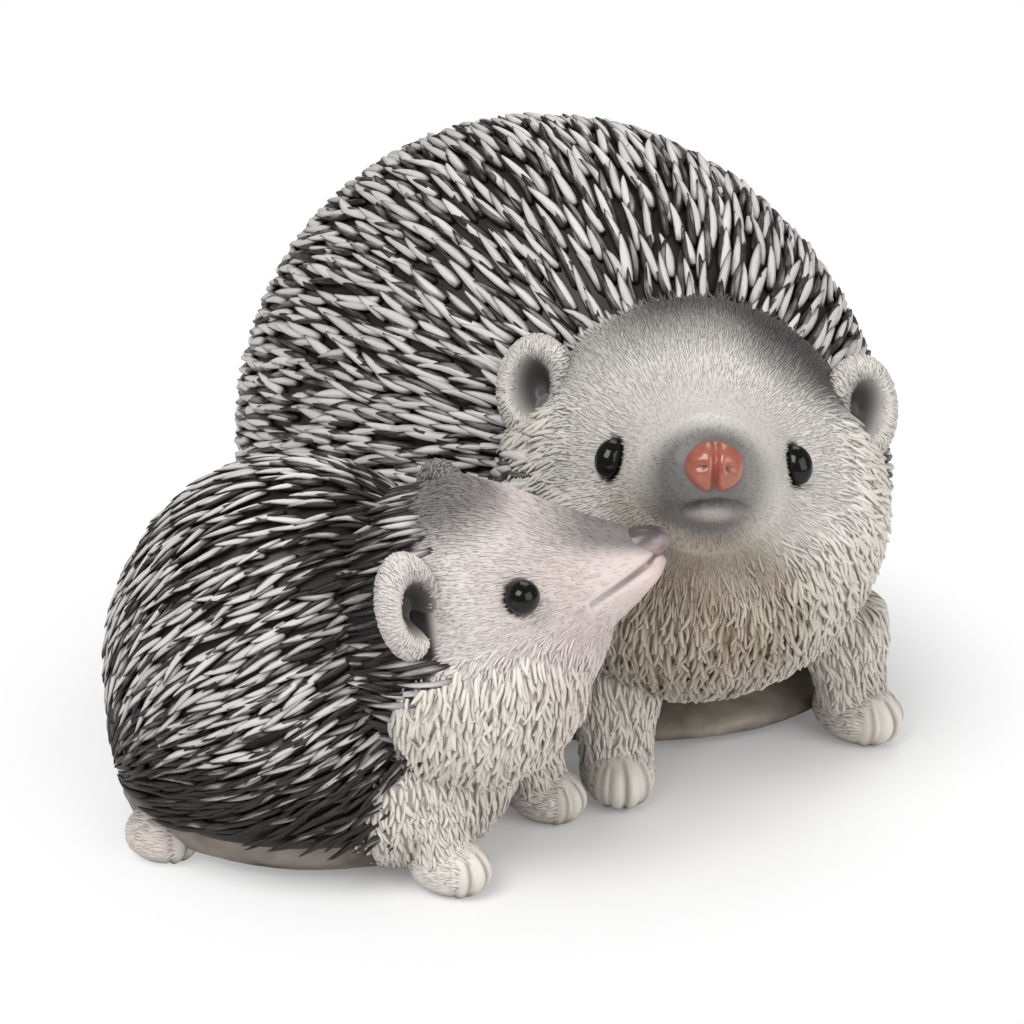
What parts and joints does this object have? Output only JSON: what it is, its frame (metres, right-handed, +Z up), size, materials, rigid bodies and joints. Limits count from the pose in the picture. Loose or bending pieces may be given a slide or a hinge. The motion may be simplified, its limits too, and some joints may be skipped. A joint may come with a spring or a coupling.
{
  "type": "hedgehog figurine",
  "caption": "Cast resin figurine of a mother hedgehog with her young one touching noses, painted, standing on flat undersides.",
  "frame": {"origin": "middle of the underside of the whole figurine's bounding box", "axes": "+Z up, -Y towards the side that the mother's face looks to, +X to her left"},
  "size_m": [0.1824, 0.2134, 0.1362],
  "materials": {
    "mother_quills": "painted resin, dark wash with dry-brushed pale quills",
    "baby_quills": "painted resin, dark wash with dry-brushed pale quills",
    "mother_face": "painted resin, cream over grey",
    "baby_face": "painted resin, pinkish cream over grey",
    "ruff": "painted resin, cream with a brown wash",
    "base_band": "painted resin, brown grey",
    "ears": "painted resin, dark hollow with a pale rim",
    "legs": "painted resin, pinkish cream",
    "mother_nose": "satin brick red paint",
    "baby_nose": "gloss dark paint",
    "eyes": "gloss black bead"
  },
  "bodies": {
    "root": {"mother_quill_coat": "mother_quills", "mother_belly": "base_band", "mother_head": "mother_face", "mother_ruff": "ruff", "mother_left_ear": "ears", "mother_right_ear": "ears", "mother_nose": "mother_nose", "mother_left_eye": "eyes", "mother_right_eye": "eyes", "mother_left_foreleg": "legs", "mother_right_foreleg": "legs", "baby_quill_coat": "baby_quills", "baby_belly": "base_band", "baby_head": "baby_face", "baby_ruff": "ruff", "baby_left_ear": "ears", "baby_right_ear": "ears", "baby_nose": "baby_nose", "baby_left_eye": "eyes", "baby_right_eye": "eyes", "baby_left_foreleg": "legs", "baby_right_foreleg": "legs", "baby_left_hindpaw": "legs", "baby_right_hindpaw": "legs"}
  },
  "joints": []
}
